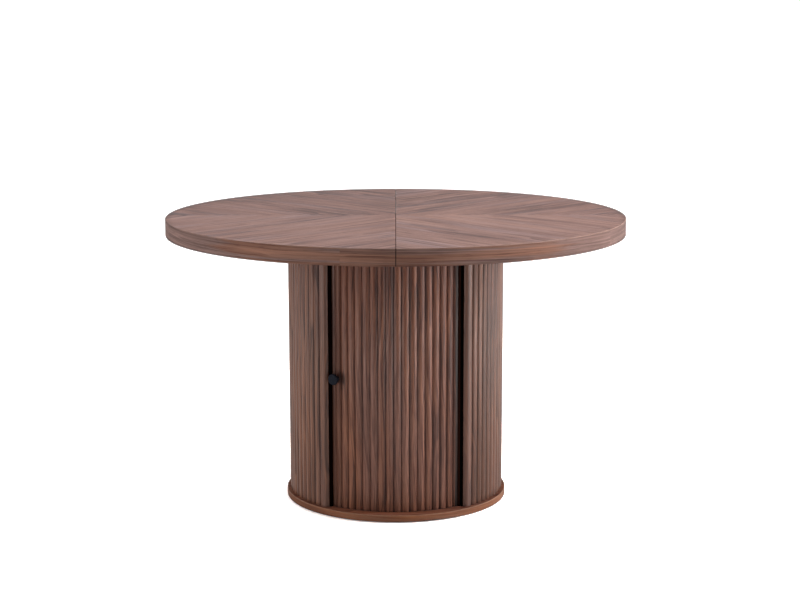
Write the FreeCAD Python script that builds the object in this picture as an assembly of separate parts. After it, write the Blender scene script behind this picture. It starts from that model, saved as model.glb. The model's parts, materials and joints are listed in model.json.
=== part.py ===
import FreeCAD, Part
import math
import os

V = FreeCAD.Vector

# ---------------------------------------------------------------------------
# Driving dimensions, millimetres. Origin on the floor, on the drum's axis.
# +Z up, the doorway faces -Y, +X to the right of a person facing the door.
# Angles are in degrees from -Y, positive towards +X.
# ---------------------------------------------------------------------------
TOP_R = 600.0            # outer radius of the table top
TOP_H = 750.0            # height of the table top's surface
RIM_H = 42.5             # height of the visible rim
BOARD_T = 18.0           # thickness of the top's board
BAND_T = 1.5             # edge band on the rim
RIM_W = 45.0             # width of the curved build-up under the board's edge
SEAM = 0.6               # half of the gap between the two half tops

GLIDE_H = 2.0            # foot glides under the plinth
PLINTH_T = 18.0
PLINTH_R = 291.6
PLINTH_BAND_T = 1.2
CAP_T = 18.0
CAP_R = 288.0
CAP_TOP = 705.5          # 2 mm under the rim, so that the half tops slide over it

SHELL_RI = 264.5         # bent shell behind the fixed reeds
SHELL_RO = 276.9
REED_R = 283.2           # crest of the fixed reeds
REED_N = 33              # reeds on each side
JAMB_A = 44.2            # fixed reeds start here on each side

SLAT_RI = 252.0          # flat backs of the tambour slats
SLAT_SH = 257.6          # shoulders of the tambour slats
SLAT_R = 262.0           # crest of the tambour slats
SLAT_PITCH = 4.46
SLAT_N = 18
SLAT_A0 = -32.57         # first edge of the regular slats
LEAD_A0 = -39.3          # free edge of the lead slat
KNOB_A = -34.95
KNOB_Z = 359.2

TRACK_RI = 250.5
TRACK_RO = 261.5
TRACK_D = 7.5
TRACK_A0 = -43.0
TRACK_A1 = 122.0

SIDE_X = 166.0           # inner faces of the cabinet's sides
SIDE_T = 15.0
SIDE_Y0 = -168.0
SIDE_Y1 = 150.0
BACK_T = 12.0
SHELF_Z = 350.0
SHELF_T = 16.0

RAIL_Y = 150.0           # fixed slide rails on the cap
RAIL_W = 26.0
RAIL_L = 230.0           # half length
TRAVEL = 200.0           # each half top
RUN_IN = 240.0           # runner reach past the seam
RUN_OUT = 470.0
RUN_W = 22.0

GEAR_M = 2.0             # equaliser gear
GEAR_N = 18

PLINTH_TOP = GLIDE_H + PLINTH_T
CAP_BOT = CAP_TOP - CAP_T
RIM_BOT = TOP_H - RIM_H
BOARD_BOT = TOP_H - BOARD_T

os.makedirs("parts", exist_ok=True)


# ---------------------------------------------------------------------------
# Helpers
# ---------------------------------------------------------------------------
def pol(r, a, z=0.0):
    t = math.radians(a)
    return V(r * math.sin(t), -r * math.cos(t), z)


def line(p, q):
    return Part.LineSegment(p, q).toShape()


def arc(p, m, q):
    return Part.Arc(p, m, q).toShape()


def prism(edges, z0, z1):
    face = Part.Face(Part.Wire(edges))
    solid = face.extrude(V(0, 0, z1 - z0))
    solid.translate(V(0, 0, z0 - face.BoundBox.ZMin))
    return solid


def sector(r0, r1, a0, a1, z0, z1):
    """Ring sector between two radii and two angles."""
    am = 0.5 * (a0 + a1)
    return prism([arc(pol(r1, a0), pol(r1, am), pol(r1, a1)),
                  line(pol(r1, a1), pol(r0, a1)),
                  arc(pol(r0, a1), pol(r0, am), pol(r0, a0)),
                  line(pol(r0, a0), pol(r1, a0))], z0, z1)


def ring(r0, r1, z0, z1):
    return cyl(r1, z0, z1).cut(cyl(r0, z0 - 1, z1 + 1))


def cyl(r, z0, z1, x=0.0, y=0.0):
    return Part.makeCylinder(r, z1 - z0, V(x, y, z0))


def box(x0, x1, y0, y1, z0, z1):
    return Part.makeBox(x1 - x0, y1 - y0, z1 - z0, V(x0, y0, z0))


def turned(shape, a):
    s = shape.copy()
    s.rotate(V(0, 0, 0), V(0, 0, 1), a)
    return s


def mirrored_x(shape):
    return shape.mirror(V(0, 0, 0), V(1, 0, 0))


def cut_all(shape, tools):
    return shape.cut(tools) if tools else shape


def round_edges(shape, radius, pick):
    chosen = [e for e in shape.Edges if pick(e)]
    return shape.makeFillet(radius, chosen)


def save(name, shapes):
    if not isinstance(shapes, (list, tuple)):
        shapes = [shapes]
    solids = []
    for s in shapes:
        solids.extend(s.Solids)
    for s in solids:
        if not s.isValid() or s.Volume <= 0:
            raise RuntimeError("bad solid in " + name)
    out = solids[0] if len(solids) == 1 else Part.makeCompound(solids)
    out.exportStep("parts/%s.step" % name)
    vol = sum(s.Volume for s in solids)
    print("%-24s %3d solid(s) %12.0f mm3" % (name, len(solids), vol))


def wood_screw_up(x, y, z_head, length, r=2.0, head_r=4.0, head_t=2.5):
    """Screw driven upwards: head at the bottom, flat face at z_head."""
    head = Part.makeCone(head_r, r, head_t, V(x, y, z_head))
    slot = box(x - 2.4, x + 2.4, y - 0.45, y + 0.45, z_head - 0.1, z_head + 1.0)
    slot2 = box(x - 0.45, x + 0.45, y - 2.4, y + 2.4, z_head - 0.1, z_head + 1.0)
    tip = Part.makeCone(r, 0.4, 4.0, V(x, y, z_head + length - 4.0))
    body = cyl(r, z_head + head_t, z_head + length - 4.0, x, y)
    return head.fuse([body, tip]).removeSplitter().cut([slot, slot2])


def screw_hole_up(x, y, z_head, length, r=2.0, head_r=4.0, head_t=2.5, gap=0.12):
    head = Part.makeCone(head_r + gap, r + gap, head_t, V(x, y, z_head))
    mouth = cyl(head_r + gap, z_head - 3.0, z_head, x, y)
    body = cyl(r + gap, z_head + head_t, z_head + length + 0.5, x, y)
    return head.fuse([mouth, body])


def flipped(shape, z):
    """Turn a part upside down about the level z."""
    s = shape.copy()
    s.rotate(V(0, 0, z), V(1, 0, 0), 180)
    return s


# ---------------------------------------------------------------------------
# Drum: plinth, glides, cap
# ---------------------------------------------------------------------------
side_mid = SIDE_X + SIDE_T / 2
back_mid = SIDE_Y1 - BACK_T / 2
carcass_xy = [(sx * side_mid, y) for sx in (-1, 1) for y in (-130.0, 0.0, 115.0)]
carcass_xy += [(-95.0, back_mid), (95.0, back_mid)]

screw_low = []
hole_low = []
screw_up = []
hole_up = []
for (x, y) in carcass_xy:
    screw_low.append(wood_screw_up(x, y, GLIDE_H + 0.8, 55.0, 3.0, 5.0, 3.0))
    hole_low.append(screw_hole_up(x, y, GLIDE_H + 0.8, 55.0, 3.0, 5.0, 3.0))
    t = wood_screw_up(x, y, 0, 55.0, 3.0, 5.0, 3.0)
    t.rotate(V(x, y, 0), V(1, 0, 0), 180)
    t.translate(V(0, 0, CAP_TOP - 0.8))
    screw_up.append(t)
    t = screw_hole_up(x, y, 0, 55.0, 3.0, 5.0, 3.0)
    t.rotate(V(x, y, 0), V(1, 0, 0), 180)
    t.translate(V(0, 0, CAP_TOP - 0.8))
    hole_up.append(t)

# upright dowels that pin the bent shell and the end posts to plinth and cap
dowel_r = 3.0
dowel_rad = 0.5 * (SHELL_RI + SHELL_RO)
dowel_a = [s * a for s in (-1, 1) for a in (42.9, 60.0, 90.0, 120.0, 150.0, 174.0)]
dowels = []
dowel_holes = []
for a in dowel_a:
    p = pol(dowel_rad, a)
    for z in (PLINTH_TOP, CAP_BOT):
        d = cyl(dowel_r, z - 9.0, z + 9.0, p.x, p.y)
        dowels.append(round_edges(d, 0.8, lambda e: isinstance(e.Curve, Part.Circle)))
        dowel_holes.append(cyl(dowel_r + 0.1, z - 9.6, z + 9.6, p.x, p.y))

# glides: low pads with a short stem pressed into the plinth
glide_a = [30.0 + 60.0 * i for i in range(6)]
glides = []
glide_holes = []
for a in glide_a:
    p = pol(255.0, a)
    pad = Part.makeCone(12.2, 13.0, GLIDE_H, V(p.x, p.y, 0))
    stem = cyl(3.5, GLIDE_H, GLIDE_H + 10.0, p.x, p.y)
    glides.append(pad.fuse(stem).removeSplitter())
    glide_holes.append(cyl(3.6, GLIDE_H - 1, GLIDE_H + 10.4, p.x, p.y))
save("foot_glides", glides)

track_cut_low = sector(TRACK_RI, TRACK_RO, TRACK_A0, TRACK_A1,
                       PLINTH_TOP - TRACK_D, PLINTH_TOP + 1)
track_cut_up = sector(TRACK_RI, TRACK_RO, TRACK_A0, TRACK_A1,
                      CAP_BOT - 1, CAP_BOT + TRACK_D)

plinth = cyl(PLINTH_R - PLINTH_BAND_T, GLIDE_H, PLINTH_TOP)
plinth = plinth.cut([track_cut_low] + hole_low + dowel_holes + glide_holes)
save("plinth_board", plinth)

band = ring(PLINTH_R - PLINTH_BAND_T, PLINTH_R, GLIDE_H, PLINTH_TOP)
band = round_edges(band, 0.9, lambda e: isinstance(e.Curve, Part.Circle)
                   and abs(e.Curve.Radius - PLINTH_R) < 0.01)
save("plinth_edge_band", band)

# fixed slide rails stand on the cap and are screwed down through their webs
rail_x = (-190.0, -65.0, 65.0, 190.0)
rail_top = CAP_TOP + 21.0
rail_screws = []
rail_holes = []
for y in (-RAIL_Y, RAIL_Y):
    for x in rail_x:
        t = wood_screw_up(x, y, 0, 32.0)
        t.rotate(V(x, y, 0), V(1, 0, 0), 180)
        t.translate(V(0, 0, rail_top - 1.0))
        rail_screws.append(t)
        t = screw_hole_up(x, y, 0, 32.0)
        t.rotate(V(x, y, 0), V(1, 0, 0), 180)
        t.translate(V(0, 0, rail_top - 1.0))
        rail_holes.append(t)

cap = cyl(CAP_R - PLINTH_BAND_T, CAP_BOT, CAP_TOP)
cap = cap.cut([track_cut_up] + hole_up + dowel_holes + rail_holes
              + [cyl(4.1, CAP_TOP - 14.5, CAP_TOP + 1)])
save("cap_board", cap)

band = ring(CAP_R - PLINTH_BAND_T, CAP_R, CAP_BOT, CAP_TOP)
band = round_edges(band, 0.9, lambda e: isinstance(e.Curve, Part.Circle)
                   and abs(e.Curve.Radius - CAP_R) < 0.01)
save("cap_edge_band", band)


# curved tracks: channels let into the plinth and the cap
def channel(z_floor, z_mouth):
    lo, hi = min(z_floor, z_mouth), max(z_floor, z_mouth)
    wall = 1.2
    body = sector(TRACK_RI + 0.1, TRACK_RO - 0.1, TRACK_A0 + 0.1, TRACK_A1 - 0.1, lo, hi)
    if z_floor < z_mouth:
        slot = sector(TRACK_RI + wall, TRACK_RO - wall, TRACK_A0 + 0.6, TRACK_A1 - 0.6,
                      lo + wall, hi + 1)
    else:
        slot = sector(TRACK_RI + wall, TRACK_RO - wall, TRACK_A0 + 0.6, TRACK_A1 - 0.6,
                      lo - 1, hi - wall)
    return body.cut(slot)


save("lower_track", channel(PLINTH_TOP - TRACK_D + 0.1, PLINTH_TOP))
save("upper_track", channel(CAP_BOT + TRACK_D - 0.1, CAP_BOT))

# ---------------------------------------------------------------------------
# Cabinet inside the drum
# ---------------------------------------------------------------------------
pin_r = 2.5
pin_z = SHELF_Z - pin_r
pin_y = (-130.0, 100.0)
pins = []
pin_holes = []
for sx in (-1, 1):
    for y in pin_y:
        d = Part.makeCylinder(pin_r, 18.0, V(sx * (SIDE_X + 9.0), y, pin_z), V(-sx, 0, 0))
        collar = Part.makeCylinder(pin_r + 1.6, 1.4, V(sx * SIDE_X, y, pin_z), V(-sx, 0, 0))
        collar = collar.cut(box(-400, 400, y - 20, y + 20, SHELF_Z - 0.05, SHELF_Z + 20))
        pins.append(d.fuse(collar).removeSplitter())
        for k in (-2, -1, 0, 1, 2):
            pin_holes.append(Part.makeCylinder(pin_r + 0.1, 10.0,
                                               V(sx * (SIDE_X + 9.4), y, pin_z + 32.0 * k),
                                               V(-sx, 0, 0)))
save("shelf_pins", pins)


def side_panel(sx):
    x0, x1 = sorted((sx * SIDE_X, sx * (SIDE_X + SIDE_T)))
    p = box(x0, x1, SIDE_Y0, SIDE_Y1, PLINTH_TOP, CAP_BOT)
    p = round_edges(p, 1.0, lambda e: e.BoundBox.YMax < SIDE_Y0 + 0.1
                    and e.BoundBox.ZLength > 100)
    return p.cut(hole_low + hole_up + pin_holes)


save("cabinet_side_left", side_panel(-1))
save("cabinet_side_right", side_panel(1))
back = box(-SIDE_X, SIDE_X, SIDE_Y1 - BACK_T, SIDE_Y1, PLINTH_TOP, CAP_BOT)
save("cabinet_back", back.cut(hole_low + hole_up))

shelf = box(-SIDE_X + 0.6, SIDE_X - 0.6, SIDE_Y0 + 4, SIDE_Y1 - BACK_T - 1.0,
            SHELF_Z, SHELF_Z + SHELF_T)
shelf = round_edges(shelf, 1.2, lambda e: e.BoundBox.YMax < SIDE_Y0 + 4.1
                    and e.BoundBox.XLength > 100)
save("shelf", shelf)
save("cabinet_screws", screw_low + screw_up)

# ---------------------------------------------------------------------------
# Fixed outer skin: bent shells, reeds, end posts, seals
# ---------------------------------------------------------------------------
for sx, name in ((-1, "left"), (1, "right")):
    a0, a1 = sorted((sx * JAMB_A, sx * 179.95))
    shell = sector(SHELL_RI, SHELL_RO, a0, a1, PLINTH_TOP, CAP_BOT)
    save("shell_" + name, shell.cut(dowel_holes))

reed_pitch = (180.0 - JAMB_A) / REED_N
reed_w = 9.85


def reed_profile(v0, v1, v2, w0, w1):
    """Closed outline of a reed: flat back at v0, shoulders at v1, crest at v2."""
    return [line(V(-w0, -v0, 0), V(w0, -v0, 0)),
            line(V(w0, -v0, 0), V(w1, -v1, 0)),
            arc(V(w1, -v1, 0), V(0, -v2, 0), V(-w1, -v1, 0)),
            line(V(-w1, -v1, 0), V(-w0, -v0, 0))]


reed = prism(reed_profile(SHELL_RO + 0.2, SHELL_RO + 1.2, REED_R, reed_w, reed_w),
             PLINTH_TOP + 0.2, CAP_BOT - 0.2)
for sx, name in ((-1, "left"), (1, "right")):
    save("reeds_" + name,
         [turned(reed, sx * (JAMB_A + reed_pitch * (i + 0.5))) for i in range(REED_N)])


def post_right():
    """Rounded end post beside the doorway, with a rebate behind its nose."""
    return prism([
        line(pol(SHELL_RI, 41.6), pol(SHELL_RI, 44.15)),
        line(pol(SHELL_RI, 44.15), pol(278.0, 44.05)),
        arc(pol(278.0, 44.05), pol(281.9, 43.35), pol(REED_R, 42.0)),
        arc(pol(REED_R, 42.0), pol(280.4, 40.0), pol(274.6, 39.05)),
        line(pol(274.6, 39.05), pol(272.2, 39.15)),
        line(pol(272.2, 39.15), pol(272.2, 41.6)),
        line(pol(272.2, 41.6), pol(SHELL_RI, 41.6))],
        PLINTH_TOP, CAP_BOT)


def seal_right(nose):
    """Black pile strip in the post's rebate, just clear of the tambour, its nose at an angle."""
    return prism([
        line(pol(262.9, nose), pol(262.9, 41.4)),
        line(pol(262.9, 41.4), pol(272.0, 41.4)),
        line(pol(272.0, 41.4), pol(272.0, 39.3)),
        arc(pol(272.0, 39.3), pol(268.2, 0.35 * 39.3 + 0.65 * nose - 0.2), pol(262.9, nose))],
        PLINTH_TOP + 0.5, CAP_BOT - 0.5)


post = post_right().cut(dowel_holes)
save("end_post_right", post)
save("end_post_left", mirrored_x(post_right()).cut(dowel_holes))
save("seal_strip_right", seal_right(37.2))
save("seal_strip_left", mirrored_x(seal_right(38.2)))

batten = box(-25, 25, 250.5, 263.0, PLINTH_TOP + 5, CAP_BOT - 5)
save("back_joint_batten", batten)
save("shell_dowels", dowels)

# ---------------------------------------------------------------------------
# Tambour door
# ---------------------------------------------------------------------------
z_lo = PLINTH_TOP + 1.0
z_hi = CAP_BOT - 1.0
tongue_lo = PLINTH_TOP - TRACK_D + 2.0
tongue_hi = CAP_BOT + TRACK_D - 2.0


def with_tongues(body, w):
    t1 = box(-w, w, -259.0, -253.0, tongue_lo, z_lo + 0.5)
    t2 = box(-w, w, -259.0, -253.0, z_hi - 0.5, tongue_hi)
    return body.fuse([t1, t2]).removeSplitter()


slat = with_tongues(prism(reed_profile(SLAT_RI, SLAT_SH, SLAT_R, 9.55, 9.85), z_lo, z_hi), 7.0)
save("tambour_slats",
     [turned(slat, SLAT_A0 + SLAT_PITCH * (i + 0.5)) for i in range(SLAT_N)])

lead_a1 = SLAT_A0 - 0.1
lead_mid = 0.5 * (LEAD_A0 + lead_a1)
hw = math.radians(0.5 * (lead_a1 - LEAD_A0)) * SLAT_SH
lead = prism([
    line(V(-hw + 0.2, -SLAT_RI, 0), V(hw - 0.25, -SLAT_RI, 0)),
    line(V(hw - 0.25, -SLAT_RI, 0), V(hw, -SLAT_SH, 0)),
    arc(V(hw, -SLAT_SH, 0), V(hw / 2 + 0.2, -261.7, 0), V(0.35, -258.8, 0)),
    line(V(0.35, -258.8, 0), V(-0.35, -258.8, 0)),
    arc(V(-0.35, -258.8, 0), V(-hw / 2 - 0.2, -261.7, 0), V(-hw, -SLAT_SH, 0)),
    line(V(-hw, -SLAT_SH, 0), V(-hw + 0.2, -SLAT_RI, 0))], z_lo, z_hi)
lead = turned(with_tongues(lead, 10.0), lead_mid)


def along_knob(r, v0, v1, r2=None):
    """Round body on the knob's radial axis from radius v0 out to radius v1."""
    d = pol(1.0, KNOB_A)
    p = pol(v0, KNOB_A, KNOB_Z)
    if r2 is None:
        return Part.makeCylinder(r, v1 - v0, p, d)
    return Part.makeCone(r, r2, v1 - v0, p, d)


lead = lead.cut([along_knob(2.15, 250, 270), along_knob(4.0, 250, 254.3)])
save("tambour_lead_slat", lead)

canvas = sector(250.9, 251.7, LEAD_A0 + 0.6, SLAT_A0 + SLAT_PITCH * SLAT_N - 0.4,
                z_lo + 25, z_hi - 25)
save("tambour_canvas", canvas.cut(along_knob(4.4, 245, 256)))

# knob: turned button with a waisted neck, outline in (radius, distance from axis)
k = [(0.0, 262.2), (7.2, 262.2), (7.2, 263.6), (5.6, 265.6), (5.4, 270.0),
     (6.8, 272.8), (12.2, 275.0), (14.1, 276.8), (14.2, 279.8)]
k_edges = [line(V(k[0][0], 0, k[0][1]), V(k[1][0], 0, k[1][1])),
           line(V(k[1][0], 0, k[1][1]), V(k[2][0], 0, k[2][1])),
           arc(V(k[2][0], 0, k[2][1]), V(5.9, 0, 264.4), V(k[3][0], 0, k[3][1])),
           arc(V(k[3][0], 0, k[3][1]), V(5.3, 0, 267.8), V(k[4][0], 0, k[4][1])),
           arc(V(k[4][0], 0, k[4][1]), V(5.8, 0, 271.7), V(k[5][0], 0, k[5][1])),
           line(V(k[5][0], 0, k[5][1]), V(k[6][0], 0, k[6][1])),
           arc(V(k[6][0], 0, k[6][1]), V(13.45, 0, 275.65), V(k[7][0], 0, k[7][1])),
           line(V(k[7][0], 0, k[7][1]), V(k[8][0], 0, k[8][1])),
           arc(V(14.2, 0, 279.8), V(13.65, 0, 281.2), V(12.3, 0, 281.8)),
           line(V(12.3, 0, 281.8), V(0, 0, 282.1)),
           line(V(0, 0, 282.1), V(0, 0, 262.2))]
knob = Part.Face(Part.Wire(k_edges)).revolve(V(0, 0, 0), V(0, 0, 1), 360)
knob = Part.makeSolid(knob) if knob.ShapeType == "Shell" else knob
knob = knob.cut(Part.makeCylinder(2.1, 13.0, V(0, 0, 261.0)))
knob.rotate(V(0, 0, 0), V(1, 0, 0), 90)          # axis now along -Y
knob.rotate(V(0, 0, 0), V(0, 0, 1), KNOB_A)
knob.translate(V(0, 0, KNOB_Z))
save("knob", knob)
ks = along_knob(3.8, 252.3, 254.0).fuse(along_knob(2.0, 254.0, 273.0)).removeSplitter()
save("knob_screw", ks)

# ---------------------------------------------------------------------------
# Half tops. The right one is the left one turned half a turn.
# ---------------------------------------------------------------------------
half = box(-TOP_R - 10, -SEAM, -TOP_R - 10, TOP_R + 10, 0, 2 * TOP_H)
board_r = TOP_R - BAND_T
pin_ys = (-430.0, 430.0)
pin_zz = 0.5 * (BOARD_BOT + TOP_H)

run_bot = BOARD_BOT - 20.0
tongue_z = (CAP_TOP + 8.0, CAP_TOP + 14.0)
groove_z = (tongue_z[0] - 0.5, tongue_z[1] + 0.5)
lat = 0.5                                        # side play between runner and rail


def runner(y_rail, side):
    """Runner of the left half top, outside (side -1) or inside (+1) a rail in Y."""
    y_face = y_rail + side * (RAIL_W / 2 + lat)
    y_far = y_face + side * RUN_W
    y0, y1 = sorted((y_face, y_far))
    body = box(-RUN_OUT, RUN_IN, y0, y1, run_bot, BOARD_BOT)
    # past the seam the runner keeps clear of the other half top
    body = body.cut(box(-SEAM - 2.0, RUN_IN + 1, y0 - 1, y1 + 1, BOARD_BOT - 1.5, BOARD_BOT + 1))
    ty0, ty1 = sorted((y_face + side * 0.5, y_face - side * 6.0))
    tongue = box(-RUN_OUT, RUN_IN, ty0, ty1, tongue_z[0], tongue_z[1])
    return body.fuse(tongue).removeSplitter(), 0.5 * (y0 + y1)


run_front, run_front_y = runner(-RAIL_Y, -1)
run_back, run_back_y = runner(RAIL_Y, -1)

pitch_r = GEAR_M * GEAR_N / 2.0
rack_z0, rack_z1 = CAP_TOP + 6.0, BOARD_BOT - 2.0
rack_y1 = pitch_r + 14.0


def rack_left():
    """Rack of the left half top: teeth face -Y, one tooth stands at x = 0."""
    p = math.pi * GEAR_M
    add, ded = 0.9 * GEAR_M, 1.25 * GEAR_M
    tan = math.tan(math.radians(20.0))
    half_t = p / 4.0 - 0.12
    pts = []
    x_left, x_right = -200.0, 232.0
    pts.append(V(x_left, rack_y1, 0))
    pts.append(V(x_left, pitch_r + ded, 0))
    n0, n1 = -4, 36
    for i in range(n0, n1 + 1):
        c = i * p
        pts.append(V(c - half_t - ded * tan, pitch_r + ded, 0))
        pts.append(V(c - half_t + add * tan, pitch_r - add, 0))
        pts.append(V(c + half_t - add * tan, pitch_r - add, 0))
        pts.append(V(c + half_t + ded * tan, pitch_r + ded, 0))
    pts.append(V(x_right, pitch_r + ded, 0))
    pts.append(V(x_right, rack_y1, 0))
    edges = [line(pts[i], pts[(i + 1) % len(pts)]) for i in range(len(pts))]
    bar = prism(edges, rack_z0, rack_z1)
    pad = box(x_left, -30.0, pitch_r + ded + 0.5, rack_y1, rack_z1, BOARD_BOT)
    return bar.fuse(pad).removeSplitter()


rack = rack_left()
rack_mid = 0.5 * (pitch_r + 2.5 + rack_y1)
slide_screws = []
slide_holes = []
for (xs, y, z) in (((-440.0, -320.0, -200.0, -80.0), run_front_y, run_bot + 1.0),
                   ((-440.0, -320.0, -200.0, -80.0), run_back_y, run_bot + 1.0),
                   ((-180.0, -60.0), rack_mid, rack_z0 + 1.0)):
    for x in xs:
        ln = TOP_H - 7.0 - z
        slide_screws.append(wood_screw_up(x, y, z, ln))
        slide_holes.append(screw_hole_up(x, y, z, ln))

board = cyl(board_r, BOARD_BOT, TOP_H).common(half)
board = round_edges(board, 0.8, lambda e: isinstance(e.Curve, (Part.Line, Part.LineSegment))
                    and abs(e.BoundBox.ZMin - TOP_H) < 0.01)
rim = ring(board_r - RIM_W, board_r, RIM_BOT, BOARD_BOT).common(half)
edge = ring(board_r, TOP_R, RIM_BOT, TOP_H).common(half)
edge = round_edges(edge, 1.0, lambda e: isinstance(e.Curve, Part.Circle)
                   and abs(e.Curve.Radius - TOP_R) < 0.01)

pin_cut = [Part.makeCylinder(4.1, 24.0, V(-24.0, y, pin_zz), V(1, 0, 0)) for y in pin_ys]
save("top_board_left", board.cut(slide_holes + pin_cut))
save("top_rim_left", rim)
save("top_edge_band_left", edge)
save("runner_left_front", run_front.cut(slide_holes))
save("runner_left_back", run_back.cut(slide_holes))
save("rack_left", rack.cut(slide_holes))
save("slide_screws_left", slide_screws)

# black felt on the left half's seam face: cushions the two halves and stops light,
# sunk below the surface, taller where it runs down the rim, holed for the pins
felt_x = (-SEAM, SEAM - 0.25)
felt_top = TOP_H - 1.6
rim_in = board_r - RIM_W + 0.5
felt = box(felt_x[0], felt_x[1], -rim_in, rim_in, BOARD_BOT + 1.0, felt_top)
for s in (-1, 1):
    y0, y1 = sorted((s * rim_in, s * (TOP_R - 2.5)))
    felt = felt.fuse(box(felt_x[0], felt_x[1], y0, y1, RIM_BOT + 1.0, felt_top))
felt = felt.removeSplitter().cut(
    [Part.makeCylinder(4.6, 10.0, V(-5.0, y, pin_zz), V(1, 0, 0)) for y in pin_ys])
save("seam_felt", felt)

seam_pins = []
for y in pin_ys:
    d = Part.makeCylinder(4.0, 22.0 + 13.0, V(-23.0, y, pin_zz), V(1, 0, 0))
    seam_pins.append(round_edges(d, 1.2, lambda e: isinstance(e.Curve, Part.Circle)))
save("seam_pins", seam_pins)

hole_right = [Part.makeCylinder(4.45, 20.0, V(-16.0, y, pin_zz), V(1, 0, 0)) for y in pin_ys]
save("top_board_right", turned(board.cut(slide_holes + hole_right), 180))
save("top_rim_right", turned(rim, 180))
save("top_edge_band_right", turned(edge, 180))
save("runner_right_back", turned(run_front.cut(slide_holes), 180))
save("runner_right_front", turned(run_back.cut(slide_holes), 180))
save("rack_right", turned(rack.cut(slide_holes), 180))
save("slide_screws_right", [turned(s, 180) for s in slide_screws])

# ---------------------------------------------------------------------------
# Slide rails and equaliser on the cap
# ---------------------------------------------------------------------------
for y, name in ((-RAIL_Y, "front"), (RAIL_Y, "back")):
    r = box(-RAIL_L, RAIL_L, y - RAIL_W / 2, y + RAIL_W / 2, CAP_TOP, rail_top)
    for s in (-1, 1):
        g0, g1 = sorted((y + s * (RAIL_W / 2 - 6.5), y + s * (RAIL_W / 2 + 1)))
        r = r.cut(box(-RAIL_L - 1, RAIL_L + 1, g0, g1, groove_z[0], groove_z[1]))
    save("slide_rail_" + name, r.cut(rail_holes))
save("rail_screws", rail_screws)

gear_z0, gear_z1 = CAP_TOP + 7.0, CAP_TOP + 18.0
axle = cyl(4.0, CAP_TOP - 14.0, CAP_TOP).fuse(
    [cyl(9.0, CAP_TOP, gear_z0 - 0.2), cyl(5.0, gear_z0 - 0.2, gear_z1 + 0.2)]).removeSplitter()
axle = axle.cut(cyl(1.6, gear_z1 - 10.0, gear_z1 + 1))
save("pinion_axle", axle)
clip = cyl(8.0, gear_z1 + 0.2, gear_z1 + 2.2).fuse(
    cyl(1.5, gear_z1 - 9.0, gear_z1 + 0.2)).removeSplitter()
clip = clip.cut([box(-3.0, 3.0, -0.6, 0.6, gear_z1 + 1.2, gear_z1 + 3),
                 box(-0.6, 0.6, -3.0, 3.0, gear_z1 + 1.2, gear_z1 + 3)])
save("pinion_retainer", clip)


def pinion():
    """Involute pinion, a tooth space centred on +Y and on -Y."""
    rb = pitch_r * math.cos(math.radians(20.0))
    ra = pitch_r + GEAR_M * 0.92
    rf = pitch_r - 1.25 * GEAR_M
    inv = lambda x: math.tan(x) - x
    half = math.pi / (2 * GEAR_N) - 0.12 / (2 * pitch_r)
    base_half = half + inv(math.radians(20.0))
    steps = 5
    flank = []
    for i in range(steps + 1):
        r = rb + (ra - rb) * i / steps
        t = math.acos(rb / r) if r > rb else 0.0
        flank.append((r, base_half - inv(t)))
    pts = []
    for n in range(GEAR_N):
        c = math.pi / 2 + math.pi / GEAR_N + 2 * math.pi * n / GEAR_N
        pts.append((rf, c - base_half - 0.004))
        for (r, h) in flank:
            pts.append((r, c - h))
        for (r, h) in reversed(flank):
            pts.append((r, c + h))
        pts.append((rf, c + base_half + 0.004))
    vs = [V(r * math.cos(t), r * math.sin(t), 0) for (r, t) in pts]
    edges = [line(vs[i], vs[(i + 1) % len(vs)]) for i in range(len(vs))]
    g = prism(edges, gear_z0, gear_z1)
    return g.cut(cyl(5.05, gear_z0 - 1, gear_z1 + 1))


save("equaliser_pinion", pinion())
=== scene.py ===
import bpy
import json
import math
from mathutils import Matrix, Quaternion, Vector


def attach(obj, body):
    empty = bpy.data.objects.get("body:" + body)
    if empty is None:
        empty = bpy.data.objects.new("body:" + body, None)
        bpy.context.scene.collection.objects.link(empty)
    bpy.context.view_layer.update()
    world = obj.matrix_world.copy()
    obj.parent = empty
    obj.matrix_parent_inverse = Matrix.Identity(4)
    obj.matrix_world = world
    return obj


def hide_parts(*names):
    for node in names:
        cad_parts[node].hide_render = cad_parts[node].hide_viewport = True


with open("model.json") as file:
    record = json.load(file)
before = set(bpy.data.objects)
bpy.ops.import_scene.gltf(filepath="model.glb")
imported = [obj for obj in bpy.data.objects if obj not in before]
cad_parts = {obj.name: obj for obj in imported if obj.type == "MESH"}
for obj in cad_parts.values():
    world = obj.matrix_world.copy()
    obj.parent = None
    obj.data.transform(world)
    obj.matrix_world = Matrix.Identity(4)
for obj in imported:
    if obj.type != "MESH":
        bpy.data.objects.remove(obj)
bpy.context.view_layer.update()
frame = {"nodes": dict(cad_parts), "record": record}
N = frame["nodes"]

# ---------------------------------------------------------------------------
# Sizes in metres, the same numbers as the construction
# ---------------------------------------------------------------------------
TOP_R, TOP_H, RIM_H, BAND_T, BOARD_T, SEAM = 0.600, 0.750, 0.0425, 0.0015, 0.018, 0.0006
PLINTH_R, PLINTH_TOP, GLIDE_H, PBAND_T = 0.2916, 0.020, 0.002, 0.0012
CAP_R, CAP_TOP, CAP_BOT = 0.288, 0.7055, 0.6875
REED_BACK, REED_SHOULDER, REED_CREST, REED_W = 0.2771, 0.2781, 0.2832, 0.00985
REED_N, JAMB_A = 33, 44.2
SLAT_BACK, SLAT_SHOULDER, SLAT_CREST = 0.2520, 0.2576, 0.2620
SLAT_N, SLAT_A0, SLAT_PITCH = 18, -32.57, 4.46
KNOB_A, KNOB_Z = -34.95, 0.3592
TRACK_D = 0.0075


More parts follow.
